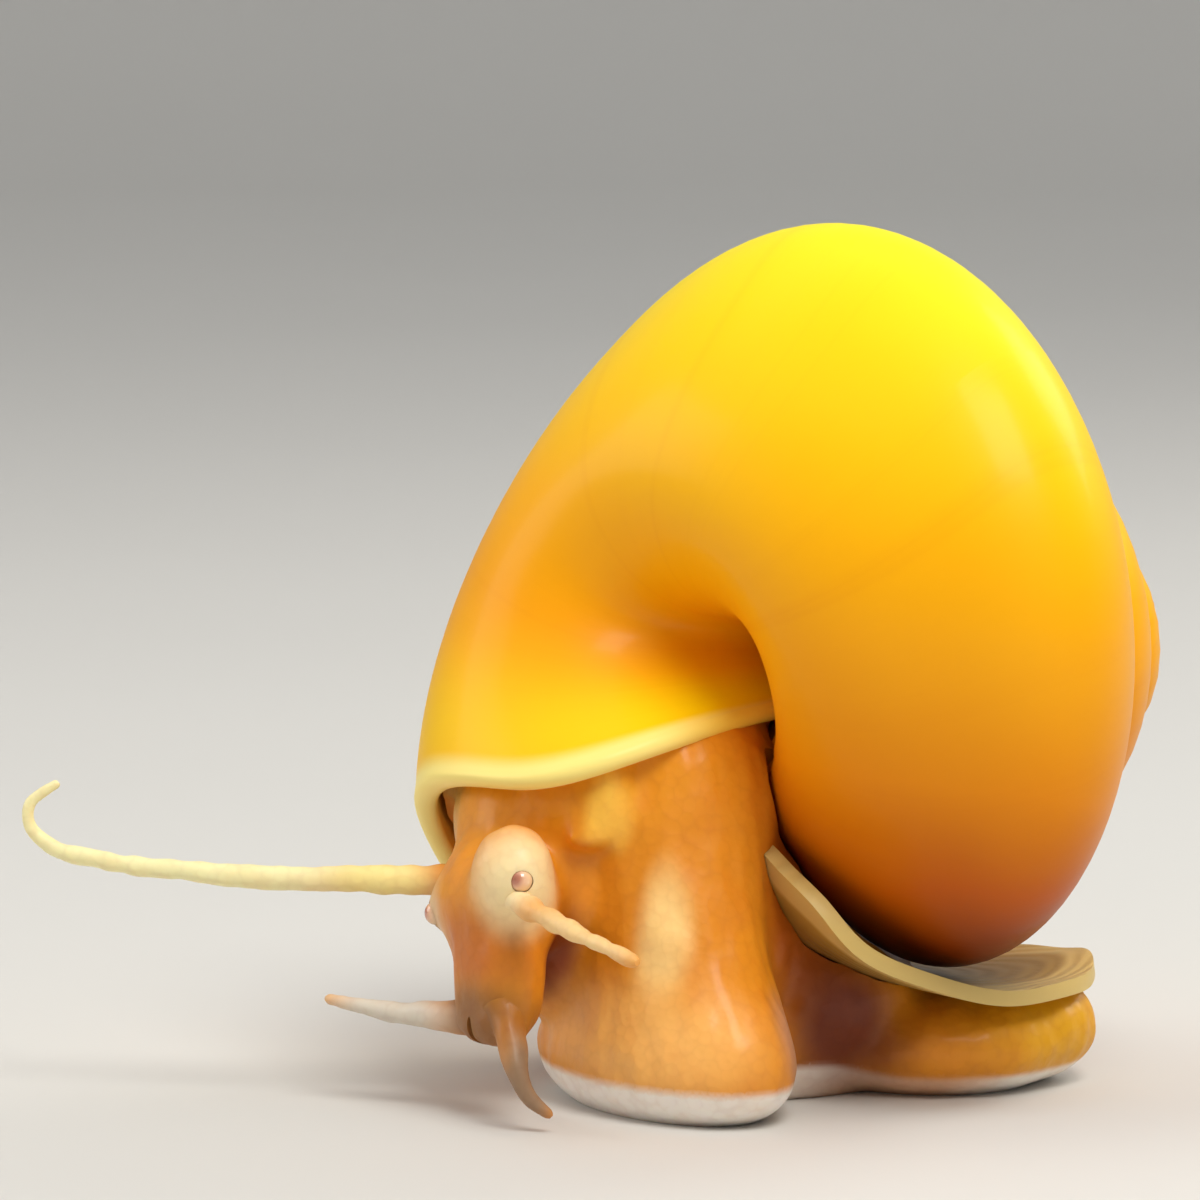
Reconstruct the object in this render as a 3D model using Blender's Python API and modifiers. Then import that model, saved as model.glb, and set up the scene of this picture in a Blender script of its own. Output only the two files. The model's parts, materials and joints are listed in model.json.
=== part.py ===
"""Apple snail, crawling, at life size: a coiled shell, an operculum and a soft body in named parts.

The frame: +Z is up, -Y is the way the snail faces, +X is its left side, and the origin lies
between the front and the back of the sole, at the level that the sole rests on.
"""
import math

import bmesh
import bpy
from mathutils import Matrix, Vector

MM = 0.001
GAP = 0.3 * MM                              # clear space between neighbouring pieces

# Shell: a tube coiled round an axis, each turn larger than the one before by a fixed ratio
WHORL_RATIO = 1.79
LIP_RADIUS = 12.35 * MM                     # from the axis to the middle of the mouth
LIP_DROP = 25.6 * MM                        # from the apex, along the axis, to the middle of the mouth
TUBE_RADIAL = 11.4 * MM                     # half the mouth across, away from the axis
TUBE_AXIAL = 12.85 * MM                     # half the mouth along the axis
TUBE_TILT = math.radians(-28.0)             # the mouth's front end leans in towards the axis
TUBE_FLARE = 0.33                           # the tube is wider towards the apex
TUBE_FULLNESS = 2.54                        # 2 is an ellipse, more is fuller at the corners
GROWTH_LAG_FRONT = 0.32                     # radians by which growth lines lag at the tube's front
GROWTH_LEAD_BACK = 0.13                     # and by which they lead at its back
LIP_REACH = 5.2 * MM                        # the lip runs on past the last growth line near the axis
LIP_REACH_AT = math.radians(245)            # where round the tube it runs on most
LIP_REACH_TURNS = 0.2                       # over how much of the last turn that begins
TUBE_SLIMMER = 0.059                        # the tube is slimmer by this share behind the mouth,
SLIMMER_TURNS = 0.395                       # most in the middle of this much of a turn
TURNS = 3.5
WALL = 1.1 * MM
CAVITY_TURNS = 0.45                         # how far the hollow runs back from the lip
MANTLE_RECESS = 0.006                       # turns by which the mantle stops short of the lip
APEX = Vector((2.35, 21.5, 21.7)) * MM
AXIS_TURN = math.radians(3.2)               # from +Y towards +X
AXIS_RISE = math.radians(-2.3)
LIP_ROLL = math.radians(-50.2)              # the mouth's middle, round the axis from the right side
RING_SIDES = 24
STEPS_PER_HALF_TURN = (4, 5, 6, 8, 10, 12, 13)

# Operculum: an oval plate that bends down from the column and lies on the tail
OPERCULUM_THICK = 0.8 * MM
OPERCULUM_HALF_WIDTH = 7.7 * MM
OPERCULUM_COURSE = [(-3.5, 13.4), (-2.6, 10.8), (-0.7, 8.4), (2.9, 6.5), (7.4, 5.5), (12.3, 5.2), (16.7, 5.9)]
OPERCULUM_SHIFT = 1.2 * MM

# Soft body: rounded masses as (middle, half sizes) in millimetres, from the front to the tail
MASSES = {
    "snout": ((-1.3, -15.9, 7.2), (3.2, 2.0, 3.8)),
    "lips": ((-0.7, -16.6, 4.9), (3.0, 1.5, 1.3)),
    "head": ((-2.6, -15.2, 10.3), (4.3, 2.7, 3.1)),
    "left lobe": ((0.2, -15.9, 12.3), (2.2, 2.1, 2.5)),
    "right lobe": ((-5.2, -16.2, 10.0), (1.5, 1.5, 1.6)),
    "neck": ((-4.2, -11.4, 11.0), (4.6, 5.4, 4.4)),
    "throat": ((-4.6, -10.2, 8.2), (4.2, 4.4, 4.2)),
    "collar": ((-5.4, -7.4, 13.8), (7.0, 8.0, 5.2)),
    "mantle right": ((-6.2, -12.0, 14.4), (3.4, 2.7, 2.8)),
    "mantle middle": ((-3.2, -11.2, 15.0), (4.0, 3.0, 2.8)),
    "mantle left": ((-1.2, -10.2, 15.2), (3.2, 3.2, 2.8)),
    "column": ((-1.6, -3.8, 9.0), (5.6, 5.4, 7.4)),
    "middle foot": ((-1.2, 0.5, 3.0), (4.8, 8.0, 3.9)),
    "tail": ((0.0, 8.6, 2.5), (7.8, 7.6, 3.3)),
    "tail end": ((0.6, 12.0, 2.9), (6.3, 4.7, 3.3)),
    "tail root": ((-0.8, 2.0, 5.2), (5.6, 5.0, 4.4)),
}
VOXEL = 0.5 * MM
SMOOTHING_ROUNDS = 8
BODY_TRIANGLES = 4600

# Feelers: points along the middle in millimetres, and the radius at the root and at the tip

# The trunk, from the front of the sole up into the shell, level by level
# as (height, middle x and y, half sizes) in millimetres
TRUNK = [
    (-1.0, 0.0, -7.1, 3.6, 2.0),
    (0.0, 0.0, -7.1, 7.0, 3.7),
    (0.8, 0.0, -7.1, 8.6, 4.5),
    (1.9, 0.0, -7.1, 9.4, 5.0),
    (3.2, 0.0, -7.1, 9.4, 5.0),
    (5.0, 0.2, -7.1, 8.4, 4.6),
    (7.0, 0.3, -7.1, 6.7, 4.4),
    (9.5, 0.1, -6.9, 5.7, 4.5),
    (12.5, -0.5, -6.3, 5.2, 4.9),
    (15.5, -1.0, -5.6, 5.0, 5.3),
    (18.0, -1.4, -5.2, 4.6, 5.2),
]
FEELERS = {
    "tentacle_right": ([(-3.6, -14.4, 11.0), (-6.4, -15.8, 11.1), (-9.2, -19.4, 11.1), (-12.0, -23.0, 11.1),
                        (-15.1, -26.5, 11.3), (-17.8, -29.4, 11.7), (-19.2, -31.2, 12.2),
                        (-20.1, -32.3, 13.3), (-20.1, -32.3, 14.6), (-19.4, -31.1, 15.6)], 0.95, 0.22, 44),
    "tentacle_left": ([(-0.8, -15.6, 11.7), (1.0, -16.4, 11.3), (4.0, -16.6, 10.8), (8.0, -16.4, 10.2),
                       (12.4, -16.0, 9.5)], 0.95, 0.3, 20),
    "palp_right": ([(-1.6, -16.0, 4.9), (-3.6, -17.3, 4.8), (-6.2, -18.7, 4.7), (-8.3, -19.9, 4.9),
                    (-10.0, -20.9, 5.1)], 1.15, 0.25, 14),
    "palp_left": ([(0.6, -16.6, 5.6), (2.0, -17.0, 4.2), (2.9, -17.2, 2.9), (3.4, -16.8, 1.7),
                   (4.1, -16.0, 0.8)], 1.1, 0.22, 14),
}

# The free edge of the siphon fold, which hangs from the mantle on the left
SIPHON = ([(0.9, -10.6, 17.6), (1.3, -11.1, 16.7), (1.4, -10.8, 15.4), (1.2, -11.2, 14.5),
           (0.9, -12.0, 13.9), (0.3, -13.0, 14.0)], 0.9, 0.7, 12)
FEELER_SIDES = 12
TRUNK_SIDES = 24
TRUNK_RINGS = 16

EYES = {
    "eye_left": Vector((1.8, -16.4, 12.2)) * MM,
    "eye_right": Vector((-5.5, -17.1, 9.7)) * MM,
}
EYE_RADIUS = 0.6 * MM

# The mouth is an upright slit between the palps
MOUTH = ((-0.7, -17.9, 4.3), (0.22, 0.9, 0.9))

# Colour and roughness of each part
FINISHES = {
    "shell": ((0.95, 0.55, 0.02), 0.25),
    "operculum": ((0.30, 0.17, 0.05), 0.45),
    "mantle": ((0.85, 0.38, 0.05), 0.45),
    "eye_left": ((0.20, 0.12, 0.12), 0.15),
    "eye_right": ((0.20, 0.12, 0.12), 0.15),
}
FLESH_FINISH = ((0.85, 0.45, 0.22), 0.45)

# Where the body is parted, front to back
MANTLE_SHOWS = 0.8 * MM                     # how far the mantle stands out of the mouth
FEELER_CUTS = [
    ("tentacle_right", "tentacle_right_tip", 0.66),
    ("tentacle_right", "tentacle_right_middle", 0.42),
    ("tentacle_right", "tentacle_right_base", 0.16),
    ("tentacle_left", "tentacle_left_tip", 0.62),
    ("tentacle_left", "tentacle_left_base", 0.36),
    ("palp_right", "palp_right", 0.32),
    ("palp_left", "palp_left", 0.34),
]
STALK_CUTS = [
    ("eye_stalk_left", (-0.8, -15.6, 11.6), (0.8, -0.2, 0.57)),
    ("eye_stalk_right", (-4.6, -15.6, 10.3), (-0.8, -0.5, 0.4)),
]
HEAD_BACK = -12.6 * MM
NECK_BACK = -8.3 * MM
COLUMN_BOTTOM = 7.0 * MM
FRONT_FOOT_BACK = -2.6 * MM
TAIL_FRONT = 3.6 * MM


def smooth_path(points, count):
    """Points along a smooth curve through the given ones, as in a Catmull-Rom spline."""
    ends = [2 * points[0] - points[1]] + points + [2 * points[-1] - points[-2]]
    spans = len(points) - 1
    path = []
    for i in range(count + 1):
        place = i / count * spans
        span = min(int(place), spans - 1)
        t = place - span
        a, b, c, d = ends[span:span + 4]
        bend = (2 * a - 5 * b + 4 * c - d) * t ** 2 + (3 * b - a - 3 * c + d) * t ** 3
        path.append((2 * b + (c - a) * t + bend) / 2)
    return path


def loft(name, rings):
    """A closed skin over rings of points, with a fan of faces over each end."""
    shape = bmesh.new()
    rows = [[shape.verts.new(point) for point in ring] for ring in rings]
    sides = len(rings[0])
    for row, following in zip(rows, rows[1:]):
        for i in range(sides):
            j = (i + 1) % sides
            shape.faces.new((row[i], row[j], following[j], following[i]))
    for row in (rows[0], rows[-1]):
        middle = sum((corner.co for corner in row), Vector()) / sides
        hub = shape.verts.new(middle)
        for i in range(sides):
            shape.faces.new((row[i], row[(i + 1) % sides], hub))
    bmesh.ops.triangulate(shape, faces=shape.faces[:])
    bmesh.ops.recalc_face_normals(shape, faces=shape.faces[:])
    return new_object(name, shape)


def new_object(name, shape):
    """An object in the scene from a bmesh, which is freed."""
    mesh = bpy.data.meshes.new(name)
    shape.to_mesh(mesh)
    shape.free()
    piece = bpy.data.objects.new(name, mesh)
    bpy.context.scene.collection.objects.link(piece)
    return piece


def apply_modifiers(piece):
    """Put the modifiers' result into the object's own mesh."""
    graph = bpy.context.evaluated_depsgraph_get()
    mesh = bpy.data.meshes.new_from_object(piece.evaluated_get(graph))
    piece.modifiers.clear()
    piece.data = mesh


def combine(piece, others, operation):
    """Join a group of closed objects to one, or cut them from it, and remove the group."""
    group = bpy.data.collections.new("cutters")
    bpy.context.scene.collection.children.link(group)
    for other in others:
        other.hide_render = True
        other.display_type = 'WIRE'
        group.objects.link(other)
    modifier = piece.modifiers.new("combine", 'BOOLEAN')
    modifier.operation = operation
    modifier.solver = 'EXACT'
    modifier.operand_type = 'COLLECTION'
    modifier.collection = group
    apply_modifiers(piece)
    for other in list(group.objects):
        bpy.data.objects.remove(other)
    bpy.data.collections.remove(group)


def loose_bodies(piece):
    """The separate closed surfaces of an object, as bmeshes with their volumes."""
    source = bmesh.new()
    source.from_mesh(piece.data)
    bmesh.ops.triangulate(source, faces=source.faces[:])
    waiting = set(source.verts)
    bodies = []
    while waiting:
        found = {waiting.pop()}
        edge = list(found)
        while edge:
            corner = edge.pop()
            for link in corner.link_edges:
                other = link.other_vert(corner)
                if other in waiting:
                    waiting.remove(other)
                    found.add(other)
                    edge.append(other)
        body = source.copy()
        body.verts.ensure_lookup_table()
        keep = {corner.index for corner in found}
        spare = [corner for corner in body.verts if corner.index not in keep]
        bmesh.ops.delete(body, geom=spare, context='VERTS')
        bodies.append((body.calc_volume(signed=True), body))
    source.free()
    return bodies


def keep_largest(piece):
    """Drop sealed hollows and loose scraps: only the largest closed surface stays."""
    bodies = loose_bodies(piece)
    volume, largest = max(bodies, key=lambda entry: abs(entry[0]))
    largest.to_mesh(piece.data)
    for volume, body in bodies:
        body.free()


def shell_axes():
    """The coiling axis towards the apex, the way to the middle of the mouth, and the way back in growth."""
    flat = math.cos(AXIS_RISE)
    axis = Vector((math.sin(AXIS_TURN) * flat, math.cos(AXIS_TURN) * flat, math.sin(AXIS_RISE)))
    side = Vector((0, 0, 1)).cross(axis).normalized()
    lift = axis.cross(side)
    mouth = side * math.cos(LIP_ROLL) + lift * math.sin(LIP_ROLL)
    return axis, mouth, axis.cross(mouth)


def shell_ring(turn, inset):
    """One cross section of the coiled tube: turn is 0 at the lip and negative back in growth."""
    axis, mouth, back = shell_axes()
    growth = WHORL_RATIO ** turn
    late = max(0.0, 1 + turn / LIP_REACH_TURNS)
    ring = []
    for i in range(RING_SIDES):
        angle = 2 * math.pi * i / RING_SIDES
        across = math.cos(angle)
        along = math.sin(angle)
        reach = (abs(across) ** TUBE_FULLNESS + abs(along) ** TUBE_FULLNESS) ** (-1 / TUBE_FULLNESS)
        reach *= 1 - TUBE_SLIMMER * math.sin(math.pi * min(1.0, max(0.0, -turn / SLIMMER_TURNS))) ** 2
        x = (growth * TUBE_RADIAL - inset) * reach * across * (1 + TUBE_FLARE * along)
        z = (growth * TUBE_AXIAL - inset) * reach * along
        outward = x * math.cos(TUBE_TILT) - z * math.sin(TUBE_TILT)
        upward = x * math.sin(TUBE_TILT) + z * math.cos(TUBE_TILT)
        height = upward / (growth * TUBE_AXIAL)
        lead = (GROWTH_LEAD_BACK + GROWTH_LAG_FRONT) / 2 * height
        lead += (GROWTH_LEAD_BACK - GROWTH_LAG_FRONT) / 2 * (math.hypot(height, 0.2) - 0.2)
        turned = -2 * math.pi * turn - lead
        radius = growth * LIP_RADIUS + outward
        spoke = mouth * math.cos(turned) + back * math.sin(turned)
        point = APEX + spoke * radius + axis * (upward - growth * LIP_DROP)
        facing = max(0.0, math.cos(angle - LIP_REACH_AT))
        ring.append(point - back * (late * late * LIP_REACH * facing ** 2))
    return ring


def shell_tube(name, first, last, steps, inset):
    """A stretch of the coiled tube between two turns."""
    turns = [first + (last - first) * i / steps for i in range(steps + 1)]
    return loft(name, [shell_ring(turn, inset) for turn in turns])


def make_shell(name, clearance):
    """The shell, or the space that it takes up with a clearance all round it."""
    lead = 2 * clearance / (2 * math.pi * LIP_RADIUS)
    stretches = []
    first = -TURNS
    for steps in STEPS_PER_HALF_TURN:
        last = first + 0.5
        end = lead if last > -0.01 else last
        stretches.append(shell_tube("stretch", first, end, steps, -clearance))
        first = last
    shell = stretches.pop()
    combine(shell, stretches, 'UNION')
    keep_largest(shell)
    hollow = shell_tube("hollow", -CAVITY_TURNS + lead, 0.03, 16, WALL + clearance)
    earlier = [shell_tube("earlier", -CAVITY_TURNS - 1.05, -0.85, 19, -clearance)]
    combine(hollow, earlier, 'DIFFERENCE')
    keep_largest(hollow)
    combine(shell, [hollow], 'DIFFERENCE')
    keep_largest(shell)
    shell.name = name
    return shell


def make_operculum(name, clearance):
    """The oval plate, or the space that it takes up with a clearance all round it."""
    course = smooth_path([Vector((OPERCULUM_SHIFT, y * MM, z * MM)) for y, z in OPERCULUM_COURSE], 40)
    shape = bmesh.new()
    bmesh.ops.create_grid(shape, x_segments=16, y_segments=10, size=1)
    margin = 1 + clearance / OPERCULUM_HALF_WIDTH
    for corner in shape.verts:
        u, v = corner.co.x, corner.co.y
        along = u * math.sqrt(1 - v * v / 2)
        across = v * math.sqrt(1 - u * u / 2) * OPERCULUM_HALF_WIDTH * margin
        place = (0.5 + 0.5 * along * margin) * (len(course) - 1)
        span = max(0, min(int(place), len(course) - 2))
        middle = course[span].lerp(course[span + 1], place - span)
        corner.co = middle + Vector((across, 0, 0))
    plate = new_object(name, shape)
    solid = plate.modifiers.new("thickness", 'SOLIDIFY')
    solid.thickness = OPERCULUM_THICK + 2 * clearance
    solid.offset = 0
    solid.use_even_offset = True
    apply_modifiers(plate)
    return plate


def make_mass(name, middle, sizes):
    """A rounded mass of flesh."""
    shape = bmesh.new()
    place = Matrix.Translation(Vector(middle) * MM) @ Matrix.Diagonal((*(Vector(sizes) * MM), 1))
    bmesh.ops.create_uvsphere(shape, u_segments=24, v_segments=16, radius=1, matrix=place)
    return new_object(name, shape)


def make_trunk(name):
    """The trunk that carries the head and the shell, as rounded levels."""
    rings = []
    for height, x, y, wide, deep in smooth_path([Vector(level) for level in TRUNK], TRUNK_RINGS):
        swing = [2 * math.pi * i / TRUNK_SIDES for i in range(TRUNK_SIDES)]
        rings.append([Vector((x + wide * math.cos(a), y + deep * math.sin(a), height)) * MM for a in swing])
    return loft(name, rings)


def make_feeler(name, points, root, tip, steps):
    """A round feeler that tapers from root to tip along a smooth course."""
    path = smooth_path([Vector(point) * MM for point in points], steps)
    rings = []
    side = Vector((0, 0, 1))
    for i, point in enumerate(path):
        ahead = path[min(i + 1, steps)] - path[max(i - 1, 0)]
        ahead.normalize()
        side = (side - ahead * side.dot(ahead)).normalized()
        other = ahead.cross(side)
        share = i / steps
        radius = (root + (tip - root) * share ** 0.8) * MM
        ring = []
        for k in range(FEELER_SIDES):
            angle = 2 * math.pi * k / FEELER_SIDES
            ring.append(point + (side * math.cos(angle) + other * math.sin(angle)) * radius)
        rings.append(ring)
    return loft(name, rings)


def make_flesh():
    """The whole soft body in one piece, before it is parted."""
    pieces = [make_mass(name, middle, sizes) for name, (middle, sizes) in MASSES.items()]
    pieces.append(make_trunk("trunk"))
    pieces.append(make_feeler("siphon", *SIPHON))
    pieces.append(shell_tube("flesh", -CAVITY_TURNS - 0.01, -MANTLE_RECESS, 14, 0.6 * WALL))
    flesh = pieces.pop()
    combine(flesh, pieces, 'UNION')
    keep_largest(flesh)
    fuse = flesh.modifiers.new("fuse", 'REMESH')
    fuse.mode = 'VOXEL'
    fuse.voxel_size = VOXEL
    soften = flesh.modifiers.new("soften", 'SMOOTH')
    soften.factor = 0.5
    soften.iterations = SMOOTHING_ROUNDS
    apply_modifiers(flesh)
    thin = flesh.modifiers.new("thin", 'DECIMATE')
    thin.ratio = BODY_TRIANGLES / (2 * len(flesh.data.polygons))
    apply_modifiers(flesh)
    combine(flesh, [make_feeler(name, *sizes) for name, sizes in FEELERS.items()], 'UNION')
    keep_largest(flesh)
    for cutter in (make_shell("room", GAP), make_operculum("room", GAP), make_floor()):
        combine(flesh, [cutter], 'DIFFERENCE')
        keep_largest(flesh)
    sockets = [make_ball("socket", middle, EYE_RADIUS + GAP) for middle in EYES.values()]
    combine(flesh, sockets + [make_mass("mouth", *MOUTH)], 'DIFFERENCE')
    keep_largest(flesh)
    return flesh


def make_floor():
    """A block under the sole, whose top is the level that the snail rests on."""
    shape = bmesh.new()
    depth = 10 * MM
    place = Matrix.Translation((0, 0, -depth / 2)) @ Matrix.Diagonal((0.2, 0.2, depth, 1))
    bmesh.ops.create_cube(shape, size=1, matrix=place)
    return new_object("floor", shape)


def make_ball(name, middle, radius):
    """An eye, or the socket that it lies in."""
    shape = bmesh.new()
    bmesh.ops.create_uvsphere(shape, u_segments=12, v_segments=8, radius=radius,
                              matrix=Matrix.Translation(middle))
    return new_object(name, shape)


def part_off(piece, name, point, ahead, reach=60 * MM):
    """Cut a piece with a thin disc and name what lies ahead of the disc."""
    ahead = Vector(ahead).normalized()
    turn = Vector((0, 0, 1)).rotation_difference(ahead).to_matrix().to_4x4()
    disc = bmesh.new()
    bmesh.ops.create_cone(disc, cap_ends=True, segments=24, radius1=reach, radius2=reach, depth=GAP,
                          matrix=Matrix.Translation(point) @ turn)
    combine(piece, [new_object("disc", disc)], 'DIFFERENCE')
    sides = {True: [], False: []}
    for volume, body in loose_bodies(piece):
        middle = sum((corner.co for corner in body.verts), Vector()) / len(body.verts)
        sides[(middle - Vector(point)).dot(ahead) > 0].append((volume, body))
    parted = max(sides[True], key=lambda entry: entry[0])[1].copy()
    rest = max(sides[False], key=lambda entry: entry[0])[1]
    rest.to_mesh(piece.data)
    for volume, body in sides[True] + sides[False]:
        body.free()
    return new_object(name, parted)


def finish_part(part, collection):
    """Tidy a part's mesh, give it its own material, and put it in the snail's collection."""
    shape = bmesh.new()
    shape.from_mesh(part.data)
    bmesh.ops.triangulate(shape, faces=shape.faces[:])
    shape.to_mesh(part.data)
    shape.free()
    part.data.name = part.name
    part.data.shade_smooth()
    part.data.set_sharp_from_angle(angle=math.radians(50))
    color, roughness = FINISHES.get(part.name, FLESH_FINISH)
    material = bpy.data.materials.new(part.name)
    material.use_nodes = True
    shader = material.node_tree.nodes["Principled BSDF"]
    shader.inputs["Base Color"].default_value = (*color, 1)
    shader.inputs["Roughness"].default_value = roughness
    shader.inputs["Metallic"].default_value = 0
    part.data.materials.clear()
    part.data.materials.append(material)
    for home in list(part.users_collection):
        home.objects.unlink(part)
    collection.objects.link(part)


def feeler_station(name, share):
    """A point along a feeler, the way to its tip there, and a reach that clears it."""
    points, root, tip, steps = FEELERS[name]
    path = smooth_path([Vector(point) * MM for point in points], 100)
    spot = round(share * 100)
    return path[spot], path[spot + 1] - path[spot - 1], 2.2 * root * MM


for old in list(bpy.data.objects):
    bpy.data.objects.remove(old)
shell = make_shell("shell", 0.0)
operculum = make_operculum("operculum", 0.0)
flesh = make_flesh()
parts = [shell, operculum, flesh]
for feeler, name, share in FEELER_CUTS:
    parts.append(part_off(flesh, name, *feeler_station(feeler, share)))
axis, mouth, back = shell_axes()
lip_middle = APEX + mouth * LIP_RADIUS - axis * LIP_DROP
parts.append(part_off(flesh, "mantle", lip_middle - back * MANTLE_SHOWS, back))
head = part_off(flesh, "head", (0, HEAD_BACK, 0), (0, -1, 0))
parts.append(head)
for name, point, ahead in STALK_CUTS:
    parts.append(part_off(head, name, Vector(point) * MM, ahead))
column = part_off(flesh, "column", (0, 0, COLUMN_BOTTOM), (0, 0, 1))
parts.append(column)
parts.append(part_off(column, "neck", (0, NECK_BACK, 0), (0, -1, 0)))
parts.append(part_off(flesh, "foot_tail", (0, TAIL_FRONT, 0), (0, 1, 0)))
parts.append(part_off(flesh, "foot_front", (0, FRONT_FOOT_BACK, 0), (0, -1, 0)))
flesh.name = "foot_middle"
for name, middle in EYES.items():
    parts.append(make_ball(name, middle, EYE_RADIUS))
snail = bpy.data.collections.new("apple_snail")
bpy.context.scene.collection.children.link(snail)
for part in parts:
    finish_part(part, snail)
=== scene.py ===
"""A golden apple snail, crawling with its feelers out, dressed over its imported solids.

Metres, +Z up. The snail faces -Y, its left side is +X, and its sole rests on z = 0.
"""

import json
import math

import bmesh
import bpy
from mathutils import Matrix, Vector, noise

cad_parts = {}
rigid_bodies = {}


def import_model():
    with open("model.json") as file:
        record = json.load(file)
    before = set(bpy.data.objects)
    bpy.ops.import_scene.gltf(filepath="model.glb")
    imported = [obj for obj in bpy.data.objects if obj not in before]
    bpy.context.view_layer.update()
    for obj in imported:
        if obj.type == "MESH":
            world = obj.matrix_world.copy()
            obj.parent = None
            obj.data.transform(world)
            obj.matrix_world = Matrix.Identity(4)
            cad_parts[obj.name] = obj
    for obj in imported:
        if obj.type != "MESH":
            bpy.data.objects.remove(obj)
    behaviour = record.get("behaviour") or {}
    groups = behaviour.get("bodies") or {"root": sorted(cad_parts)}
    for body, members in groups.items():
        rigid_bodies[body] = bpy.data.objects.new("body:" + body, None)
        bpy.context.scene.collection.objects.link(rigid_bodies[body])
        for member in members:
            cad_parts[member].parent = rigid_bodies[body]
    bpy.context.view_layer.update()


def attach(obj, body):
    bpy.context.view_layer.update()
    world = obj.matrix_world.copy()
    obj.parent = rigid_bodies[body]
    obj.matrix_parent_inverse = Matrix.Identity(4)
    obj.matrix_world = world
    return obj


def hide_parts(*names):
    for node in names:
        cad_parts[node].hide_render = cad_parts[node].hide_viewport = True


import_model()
MM = 0.001

# The shell is a chalky tube coiled round an axis, each turn larger than the last by a fixed ratio,
# under a thin glossy skin. It grows only at its mouth, so its faint lines all run along old lips.
# Its turns are fused into one closed body, and a hollow is cut behind the mouth for the flesh.
WHORL_RATIO = 1.79
LIP_RADIUS = 12.35 * MM
LIP_DROP = 25.6 * MM
TUBE_RADIAL = 11.4 * MM
TUBE_AXIAL = 12.85 * MM
TUBE_TILT = math.radians(-28.0)
TUBE_FLARE = 0.33
TUBE_FULLNESS = 2.54
GROWTH_LAG_FRONT = 0.32
GROWTH_LEAD_BACK = 0.13
LIP_REACH = 5.2 * MM
LIP_REACH_AT = math.radians(245)
LIP_REACH_TURNS = 0.2
LIP_LAG_EASING = 0.2
TUBE_SLIMMER = 0.059
SLIMMER_TURNS = 0.395
TURNS = 3.5
WALL = 1.1 * MM
LIP_SWELL = 0.06 * MM
LIP_BAND = 1.2 * MM
LIP_RINGS = 5
CAVITY_TURNS = 0.45
EARLIER_TURNS = (-1.5, -0.85)
HOLLOW_STEPS = 40
EARLIER_STEPS = 66
SLIVER = 0.02 * MM
PAST_LIP = 3 * MM
APEX = Vector((2.35, 21.5, 21.7)) * MM
AXIS_TURN = math.radians(3.2)
AXIS_RISE = math.radians(-2.3)
LIP_ROLL = math.radians(-50.2)
SHELL_SIDES = 96
STEPS_PER_HALF_TURN = (8, 10, 14, 20, 28, 40, 56)


def shell_axes():
    """The axis towards the apex, the way to the middle of the mouth, and the way back in growth."""
    flat = math.cos(AXIS_RISE)
    axis = Vector((math.sin(AXIS_TURN) * flat, math.cos(AXIS_TURN) * flat, math.sin(AXIS_RISE)))
    side = Vector((0, 0, 1)).cross(axis).normalized()
    mouth = side * math.cos(LIP_ROLL) + axis.cross(side) * math.sin(LIP_ROLL)
    return axis, mouth, axis.cross(mouth)


def shell_point(turn, angle, inset=0.0, onward=0.0):
    """A point of the tube at a turn, 0 at the lip and negative back in growth, and an angle round it.

    The inset is how far it lies inside the surface, and onward how far it lies past its turn.
    """
    axis, mouth, back = shell_axes()
    growth = WHORL_RATIO ** turn
    across = math.cos(angle)
    along = math.sin(angle)
    reach = (abs(across) ** TUBE_FULLNESS + abs(along) ** TUBE_FULLNESS) ** (-1 / TUBE_FULLNESS)
    reach *= 1 - TUBE_SLIMMER * math.sin(math.pi * min(1.0, max(0.0, -turn / SLIMMER_TURNS))) ** 2
    x = (growth * TUBE_RADIAL - inset) * reach * across * (1 + TUBE_FLARE * along)
    z = (growth * TUBE_AXIAL - inset) * reach * along
    outward = x * math.cos(TUBE_TILT) - z * math.sin(TUBE_TILT)
    upward = x * math.sin(TUBE_TILT) + z * math.cos(TUBE_TILT)
    height = upward / (growth * TUBE_AXIAL)
    bent = math.hypot(height, LIP_LAG_EASING) - LIP_LAG_EASING
    lead = (GROWTH_LEAD_BACK + GROWTH_LAG_FRONT) / 2 * height
    lead += (GROWTH_LEAD_BACK - GROWTH_LAG_FRONT) / 2 * bent
    turned = -2 * math.pi * turn - lead
    spoke = mouth * math.cos(turned) + back * math.sin(turned)
    point = APEX + spoke * (growth * LIP_RADIUS + outward) + axis * (upward - growth * LIP_DROP)
    late = max(0.0, 1 + turn / LIP_REACH_TURNS)
    facing = max(0.0, math.cos(angle - LIP_REACH_AT))
    return point - back * (late * late * LIP_REACH * facing ** 2 + onward)


def add_object(name, shape):
    """An object in the scene from a bmesh, which is freed."""
    mesh = bpy.data.meshes.new(name)
    shape.to_mesh(mesh)
    shape.free()
    piece = bpy.data.objects.new(name, mesh)
    bpy.context.scene.collection.objects.link(piece)
    return piece


def settle(piece):
    """Put the result of a piece's modifiers into its own mesh."""
    graph = bpy.context.evaluated_depsgraph_get()
    mesh = bpy.data.meshes.new_from_object(piece.evaluated_get(graph))
    piece.modifiers.clear()
    piece.data = mesh


def combine(piece, others, operation):
    """Join a group of closed objects to one, or cut them from it, and remove the group."""
    group = bpy.data.collections.new("others")
    bpy.context.scene.collection.children.link(group)
    for other in others:
        group.objects.link(other)
    modifier = piece.modifiers.new("combine", 'BOOLEAN')
    modifier.operation = operation
    modifier.solver = 'MANIFOLD'
    modifier.operand_type = 'COLLECTION'
    modifier.collection = group
    settle(piece)
    for other in list(group.objects):
        bpy.data.objects.remove(other)
    bpy.data.collections.remove(group)


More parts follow.
